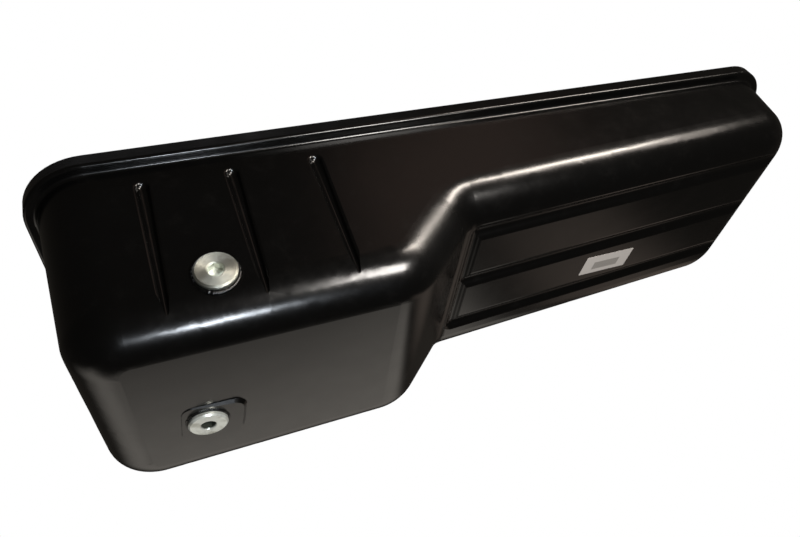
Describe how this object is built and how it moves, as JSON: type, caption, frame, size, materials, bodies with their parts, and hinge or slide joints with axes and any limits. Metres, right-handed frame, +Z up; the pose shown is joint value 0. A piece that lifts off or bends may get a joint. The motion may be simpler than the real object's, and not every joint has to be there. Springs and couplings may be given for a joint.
{
  "type": "engine oil pan",
  "caption": "Drawn sheet-steel sump with a deep end, a long ribbed shallow floor, a turned-up rim, a drain plug, a side plug and a paper label",
  "frame": {"origin": "middle of the gasket face on the rim's upper side", "axes": "+X from the deep end towards the shallow end, +Y away from the wall that holds the side plug, +Z up towards the engine block"},
  "size_m": [0.86, 0.298, 0.1976],
  "materials": {
    "black_enamel": "gloss black dip enamel on drawn sheet steel",
    "zinc_plate": "bright zinc plate on turned steel",
    "seal_metal": "soft annealed ring",
    "bush_steel": "enamelled with the pan",
    "label_paper": "matt paper label"
  },
  "bodies": {
    "root": {"pan_shell": "black_enamel", "drain_plug": "zinc_plate", "drain_plug_ring": "seal_metal", "drain_plug_bush": "bush_steel", "side_plug": "zinc_plate", "side_plug_ring": "seal_metal", "side_plug_bush": "bush_steel", "label": "label_paper"}
  },
  "joints": []
}
